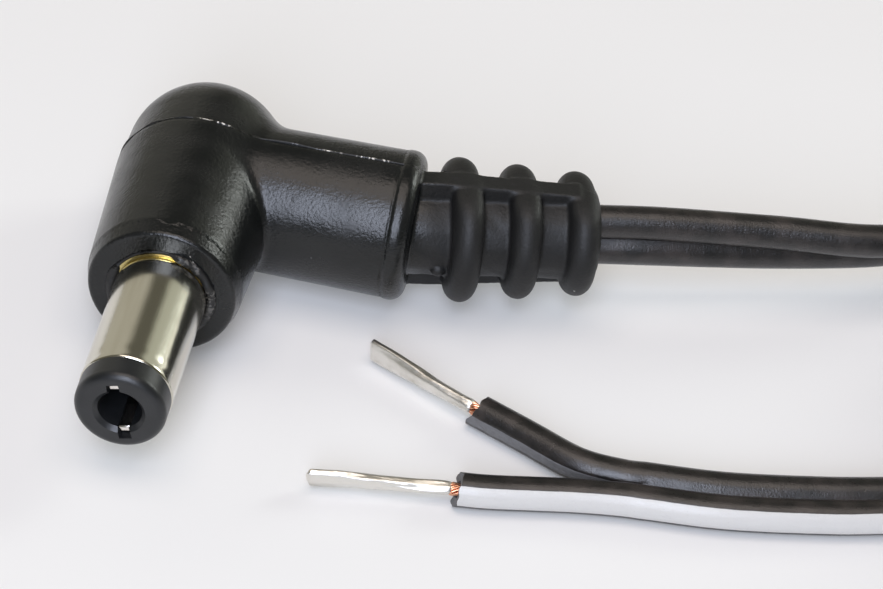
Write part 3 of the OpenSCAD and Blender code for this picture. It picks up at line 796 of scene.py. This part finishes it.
def makeBurr():
    # moulding material that has crept over the ring at the barrel's root
    draw = random.Random(12)
    waves = [(draw.randint(2, 15), draw.uniform(0, 6)) for _ in range(6)]
    points, n = [], 12
    for a in np.linspace(-180, 180, burr["steps"], endpoint=False):
        left, right = burr["bare"]
        covered = 1 - ease((a - left + 12) / 24) * ease((right + 9 - a) / 18)
        angle = math.radians(a)
        wave = sum(math.sin(f * angle + p) for f, p in waves) / 6
        r = burr["thin"] + (burr["thick"] - burr["thin"]) * covered * (0.97 + 0.2 * wave)
        proud = r * (0.8 + 0.25 * math.sin(7 * angle + 3 * wave))
        for b in np.radians(np.arange(n) * 360 / n):
            out = burr["r"] + r * math.cos(b)
            y = 0.05 - burr["ahead"] * covered - proud * math.sin(b)
            points.append((out * math.sin(angle), y, out * math.cos(angle)))
    m = burr["steps"]
    faces = [(i * n + j, i * n + (j + 1) % n, (i + 1) % m * n + (j + 1) % n, (i + 1) % m * n + j)
             for i in range(m) for j in range(n)]
    return makePiece("root_burr", points, faces, 60)


noseEnd = -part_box("nose_insulator")[0].y / mm
rootBurr = makeBurr()
barrelPiece = makeBarrel()
tineTips = makeTineTips()
print("barrel and contacts made")


class Wire:
    # one socket of a material's nodes, which Python's operators turn into Math nodes

    def __init__(self, tree, socket=None):
        self.tree = tree
        self.socket = socket

    def node(self, kind, settings=None, inputs=None, out=0):
        made = self.tree.nodes.new("ShaderNode" + kind)
        for name, value in (settings or {}).items():
            setattr(made, name, value)
        for name, value in (inputs or {}).items():
            if isinstance(value, Wire):
                self.tree.links.new(value.socket, made.inputs[name])
            else:
                made.inputs[name].default_value = value
        return Wire(self.tree, made.outputs[out])

    def math(self, operation, a, b):
        return self.node("Math", {"operation": operation}, {0: a, 1: b})

    def __add__(self, other):
        return self.math("ADD", self, other)

    def __radd__(self, other):
        return self.math("ADD", other, self)

    def __sub__(self, other):
        return self.math("SUBTRACT", self, other)

    def __rsub__(self, other):
        return self.math("SUBTRACT", other, self)

    def __mul__(self, other):
        return self.math("MULTIPLY", self, other)

    def __rmul__(self, other):
        return self.math("MULTIPLY", other, self)

    def between(self, low, high):
        # 0 below low and 1 above high, eased in between
        return self.node("MapRange", {"interpolation_type": "SMOOTHSTEP"},
                         {"Value": self, "From Min": low, "From Max": high})

    def blend(self, a, b):
        return self.node("Mix", {"data_type": "RGBA"}, {0: self, 6: a, 7: b}, 2)

    def place(self, stretch=(1, 1, 1)):
        here = self.node("TexCoord", out=3)
        return self.node("VectorMath", {"operation": "MULTIPLY"}, {0: here, 1: stretch})

    def noise(self, size, detail=2.0, stretch=(1, 1, 1), roughness=0.5):
        # size is the width of its patches in millimetres
        return self.node("TexNoise", None, {"Vector": self.place(stretch), "Scale": 1 / (size * mm),
                                            "Detail": detail, "Roughness": roughness})

    def reading(self, name):
        return self.node("Attribute", {"attribute_name": name}, out=2)

    def bump(self, height, depth, strength=1.0):
        # depth is the height's full range in millimetres
        return self.node("Bump", None, {"Height": height, "Distance": depth * mm, "Strength": strength})


def makeMaterial(name, fixed, varying):
    material = bpy.data.materials.new(name)
    material.use_nodes = True
    shader = material.node_tree.nodes["Principled BSDF"]
    for socket, value in fixed.items():
        shader.inputs[socket].default_value = value
    for socket, wire in varying(Wire(material.node_tree)).items():
        material.node_tree.links.new(wire.socket, shader.inputs[socket])
    return material


# the sizes of grain, clouds, swells and specks are their widths in millimetres
pvc = {
    "cloud": 2.6, "swell": 1.6, "specks": 1.15,
    "colour": rgb(0.006, 0.0068, 0.0068), "worn": rgb(0.011, 0.0115, 0.0115), "dust": rgb(0.42, 0.42, 0.4),
    "relief": rgb(0.0095, 0.0095, 0.0095), "reliefRougher": 0.3,
    "roughness": 0.25, "grain": 0.19, "grainDepth": 0.029, "specular": 0.42,
}


def housingMaterial():
    def varying(w):
        cloudy = w.noise(pvc["cloud"], 4).between(0.35, 0.75)
        specks = w.node("TexVoronoi", None, {"Vector": w.place(), "Scale": 1 / (pvc["specks"] * mm)})
        cell = w.node("TexWhiteNoise", {"noise_dimensions": "3D"},
                      {"Vector": Wire(w.tree, specks.socket.node.outputs["Position"])})
        dust = (1 - specks.between(0.04, 0.07)) * cell.between(0.93, 0.94)
        grain = w.noise(pvc["grain"], 3, roughness=0.6)
        swell = w.noise(pvc["swell"], 2)
        relief = w.reading("relief")
        rough = pvc["roughness"] + 0.10 * (cloudy - 0.5) + 0.08 * (grain - 0.5)
        rough = rough + pvc["reliefRougher"] * relief
        black = cloudy.blend(pvc["colour"], pvc["worn"])
        return {
            "Base Color": dust.blend(relief.blend(black, pvc["relief"]), pvc["dust"]),
            "Roughness": rough,
            "Normal": w.bump(grain + 1.2 * swell, pvc["grainDepth"]),
        }
    return makeMaterial("moulded pvc", {"Specular IOR Level": pvc["specular"], "IOR": 1.5}, varying)


def flashMaterial(name, paintedGlintShare):
    # dull and black, with small patches that are glossy, and pale flecks painted on as glints (a painted
    # highlight); the second number sets how much of them there is
    def varying(w):
        glossy = w.noise(1.5, 2).between(0.52, 0.6)
        # pale flecks painted in as glints: a painted highlight
        paintedGlint = w.noise(0.22, 2).between(0.5, 0.58) * w.noise(2.4, 1).between(0.52, 0.6) * paintedGlintShare
        return {
            "Base Color": paintedGlint.blend(flash["black"], flash["paintedGlintColour"]),
            "Roughness": flash["dull"] - (flash["dull"] - flash["glossy"]) * glossy,
            "Normal": w.bump(w.noise(0.15, 2), 0.02),
        }
    return makeMaterial(name, {}, varying)


cordLook = {
    # sheen is a warm brown painted over the black in cloudy patches: a painted sheen
    "colour": rgb(0.008, 0.0075, 0.0075), "paintedSheen": rgb(0.034, 0.028, 0.026),
    "grain": 0.13, "cloud": 1.4, "grainDepth": 0.022, "roughness": 0.24,
    # torn is a pale grey painted on the split cores' torn sides and cut ends; on the torn sides it is
    # painted floor light, a painted reflection
    "specular": 0.62, "stripe": rgb(0.6, 0.59, 0.57), "torn": rgb(0.2, 0.2, 0.205),
}


def cordMaterial():
    def varying(w):
        grain = w.noise(cordLook["grain"], 3, roughness=0.65)
        cloudy = w.noise(cordLook["cloud"], 3).between(0.3, 0.8)
        # cloudy patches of painted sheen over the black
        black = cloudy.blend(cordLook["colour"], cordLook["paintedSheen"])
        edge = cord["stripeHalf"] + 3 * (w.noise(1.1, 2) - 0.5)
        stripe = (edge - w.reading("fromStripe")).between(-1, 1)
        torn = w.reading("torn").between(0.35, 0.65)
        # pale grey painted on the torn sides and cut ends; on the torn sides it stands in for floor light, a
        # painted reflection
        pale = torn * (0.7 + 0.5 * (w.noise(0.4, 3) - 0.5))
        height = grain + 0.8 * w.noise(0.9, 1) + 1.5 * torn * w.noise(0.2, 2)
        return {
            "Base Color": pale.blend(stripe.blend(black, cordLook["stripe"]), cordLook["torn"]),
            "Roughness": cordLook["roughness"] + 0.1 * grain + 0.4 * torn,
            "Normal": w.bump(height, cordLook["grainDepth"]),
        }
    return makeMaterial("cord pvc", {"Specular IOR Level": cordLook["specular"], "IOR": 1.5}, varying)


def metalMaterial(name, colour, dull, roughness, streak, depth, size=0.5):
    # polished or plated metal with dull patches and faint marks, drawn out where streak is small
    def varying(w):
        lines = w.noise(0.09, 3, streak)
        patches = w.noise(size * 3, 3, streak).between(0.45, 0.8)
        return {
            "Base Color": patches.blend(colour, dull),
            "Roughness": roughness + 0.06 * lines + 0.08 * patches,
            "Normal": w.bump(0.35 * lines + w.noise(size * 2.5, 1), depth),
        }
    return makeMaterial(name, {"Metallic": 1.0}, varying)


def plasticMaterial(name, colour, pale, roughness, grainSize, depth):
    def varying(w):
        grain = w.noise(grainSize, 3)
        return {
            "Base Color": w.noise(grainSize * 8, 3).between(0.3, 0.8).blend(colour, pale),
            "Roughness": roughness + 0.1 * (grain - 0.5),
            "Normal": w.bump(grain, depth),
        }
    return makeMaterial(name, {}, varying)


plain = (1, 1, 1)
nickel = metalMaterial("nickel plate", rgb(0.67, 0.645, 0.565), rgb(0.58, 0.55, 0.46), 0.12,
                       (1, 0.12, 1), 0.008)
brass = metalMaterial("brass", rgb(0.74, 0.63, 0.30), rgb(0.46, 0.35, 0.15), 0.18, plain, 0.01)
tin = metalMaterial("tinned solder", rgb(0.79, 0.77, 0.72), rgb(0.50, 0.48, 0.41), 0.32,
                    (0.15, 1, 1), 0.05, 0.3)
copperFinish = metalMaterial("bare copper", rgb(0.86, 0.45, 0.29), rgb(0.70, 0.30, 0.17), 0.22,
                             plain, 0.01, 0.2)
spring = metalMaterial("fork metal", rgb(0.78, 0.74, 0.70), rgb(0.62, 0.55, 0.5), 0.20, plain, 0.008)
nosePlastic = plasticMaterial("nose plastic", rgb(0.0095, 0.0105, 0.0115), rgb(0.015, 0.016, 0.0175),
                              0.36, 0.2, 0.006)
innerPlastic = plasticMaterial("inner mould", rgb(0.78, 0.75, 0.66), rgb(0.7, 0.67, 0.58), 0.5, 0.4, 0.02)
laminate = plasticMaterial("laminate", rgb(0.4, 0.25, 0.12), rgb(0.32, 0.19, 0.09), 0.6, 0.12, 0.02)
tiePlastic = plasticMaterial("tie plastic", rgb(0.012, 0.012, 0.012), rgb(0.02, 0.02, 0.02), 0.5, 0.25, 0.02)
pvcFinish = housingMaterial()
# the number is how much painted glint each gets: full on the flash, little on the burr
flashFinish = flashMaterial("mould flash", 1.0)
burrFinish = flashMaterial("burr", 0.12)
cordFinish = cordMaterial()


def finish(piece, material):
    piece.data.materials.clear()
    piece.data.materials.append(material)


for name, material in {
    "nose_insulator": nosePlastic, "fork_contact": spring, "sleeve_terminal": brass, "rear_disc": laminate,
    "inner_mould": innerPlastic, "sleeve_solder": tin, "fork_solder": tin, "sleeve_strands": copperFinish,
    "fork_strands": copperFinish, "cord_in_plug": plasticMaterial("cord inside", rgb(0.01, 0.01, 0.01),
                                                                   rgb(0.02, 0.02, 0.02), 0.4, 0.2, 0.01),
}.items():
    finish(nodes[name], material)

for piece, material, slot, replaced in (
    (cordPiece, cordFinish, "pvc_cord", ("cord_from_plug", "cord_hank", "cord_to_leads")),
    (plainLeg, cordFinish, "pvc_cord", ("plain_leg",)),
    (stripedLeg, cordFinish, "pvc_cord", ("striped_leg",)),
    (plainCopper, copperFinish, "copper", ("plain_copper",)),
    (stripedCopper, copperFinish, "copper", ("striped_copper",)),
    (plainLead, tin, "solder", ("plain_lead",)),
    (stripedLead, tin, "solder", ("striped_lead",)),
    (tieBand, tiePlastic, "tie_plastic", ("hank_tie",)),
    (tieTail, tiePlastic, "tie_plastic", ()),
    (housingPiece, pvcFinish, "pvc_housing", ("housing",)),
    (flashPiece, flashFinish, "pvc_housing", ()),
    (rootBurr, burrFinish, "pvc_housing", ()),
    (barrelPiece, nickel, "nickel", ("barrel_sleeve",)),
    (tineTips, spring, "nickel", ()),
):
    finish(piece, material)
    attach(piece, "root")
    if replaced:
        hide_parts(*replaced)

print("finishes set")

floorLook = {"colour": rgb(0.835, 0.83, 0.822), "size": 3000, "glow": 0.14}


def makeFloor():
    s = floorLook["size"]
    corners = [(-s, -s, floorZ), (s, -s, floorZ), (s, s, floorZ), (-s, s, floorZ)]
    floor = makePiece("floor", corners, [(0, 1, 2, 3)])
    paper = makeMaterial("paper", {"Base Color": floorLook["colour"], "Roughness": 0.85,
                                   "Specular IOR Level": 0.15}, lambda w: {})
    w = Wire(paper.node_tree)
    seen = w.node("LightPath", out=0) + w.node("LightPath", out=3) + w.node("LightPath", out=6)
    shader = Wire(w.tree, w.tree.nodes["Principled BSDF"].outputs[0])
    glow = w.node("Emission", None, {"Color": floorLook["colour"], "Strength": 1.0})
    mixed = w.node("MixShader", None, {0: floorLook["glow"] * seen, 1: shader, 2: glow})
    w.tree.links.new(mixed.socket, w.tree.nodes["Material Output"].inputs["Surface"])
    finish(floor, paper)


makeFloor()

# Each lamp: compass direction from the plug (0 is +X, 90 is +Y), elevation, distance, width,
# height, brightness and colour.
lamps = {
    "window": (-90, 39, 600, 240, 490, 8.4, (0.88, 0.95, 1.14)),
    "ceiling": (-90, 84, 600, 540, 380, 2.1, (1.1, 0.97, 0.88)),
    "side": (38, 24, 600, 170, 170, 8.0, (0.95, 1.0, 0.96)),
}
surroundings = {
    "overhead": rgb(0.13, 0.125, 0.10), "right": rgb(0.54, 0.55, 0.46), "left": rgb(0.52, 0.50, 0.43),
    "low": rgb(1.25, 1.25, 1.12),
}


def makeLamps():
    target = Vector((8, 4, 0)) * mm
    for name, (azimuth, elevation, distance, wide, high, bright, colour) in lamps.items():
        azimuth, elevation = math.radians(azimuth), math.radians(elevation)
        way = Vector((math.cos(azimuth) * math.cos(elevation), math.sin(azimuth) * math.cos(elevation),
                      math.sin(elevation)))
        data = bpy.data.lights.new(name, "AREA")
        data.shape, data.size, data.size_y = "RECTANGLE", wide * mm, high * mm
        data.energy = bright * math.pi * data.size * data.size_y
        data.color = colour
        lamp = bpy.data.objects.new(name, data)
        lamp.location = target + way * distance * mm
        lamp.rotation_euler = way.to_track_quat("Z", "Y").to_euler()
        scene.collection.objects.link(lamp)


def makeSurroundings():
    world = bpy.data.worlds.new("studio")
    scene.world = world
    world.use_nodes = True
    w = Wire(world.node_tree)
    way = w.node("TexCoord", out=0)

    def facing(x, y, z, low, high):
        centre = Vector((x, y, z)).normalized()
        return w.node("VectorMath", {"operation": "DOT_PRODUCT"}, {0: way, 1: centre}, 1).between(low, high)

    colour = facing(-0.68, 0.7, 0.2, 0.72, 0.88).blend(surroundings["overhead"], surroundings["left"])
    colour = facing(0.66, 0.7, 0.22, 0.78, 0.9).blend(colour, surroundings["right"])
    colour = facing(0.66, 0.75, 0.0, 0.972, 0.994).blend(colour, surroundings["low"])
    world.node_tree.links.new(colour.socket, world.node_tree.nodes["Background"].inputs["Color"])


makeLamps()
makeSurroundings()
scene.view_settings.view_transform = "Standard"
print("lamps and surroundings set")
